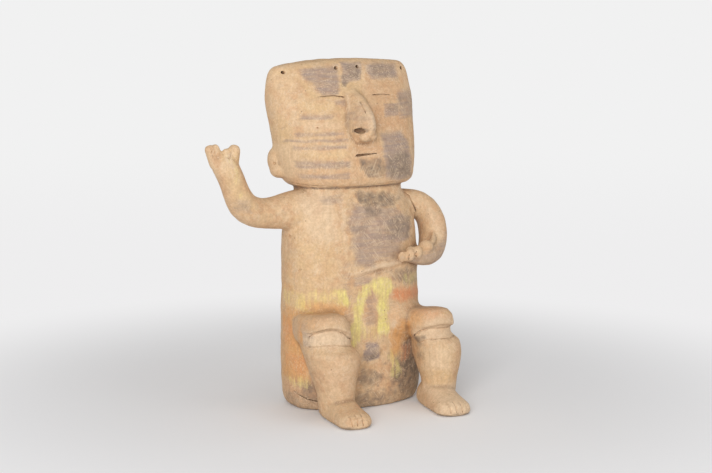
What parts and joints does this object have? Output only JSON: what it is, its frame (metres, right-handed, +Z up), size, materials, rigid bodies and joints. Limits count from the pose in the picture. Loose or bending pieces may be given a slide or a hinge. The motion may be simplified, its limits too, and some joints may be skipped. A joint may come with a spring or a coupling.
{
  "type": "quimbaya slab figure",
  "caption": "Seated fired-clay slab figure with a wedge-shaped plate head, one raised arm, one arm bent to the belly and short legs with knee caps.",
  "frame": {"origin": "middle of the flat underside that the figure sits on", "axes": "+Z up along the body; the figure faces -Y, so its left side is at +X"},
  "size_m": [0.2697, 0.1612, 0.346],
  "materials": {
    "fired_clay": "unglazed, weathered and stained, with faded slip"
  },
  "bodies": {
    "root": {"slab_figure": "fired_clay"}
  },
  "joints": []
}
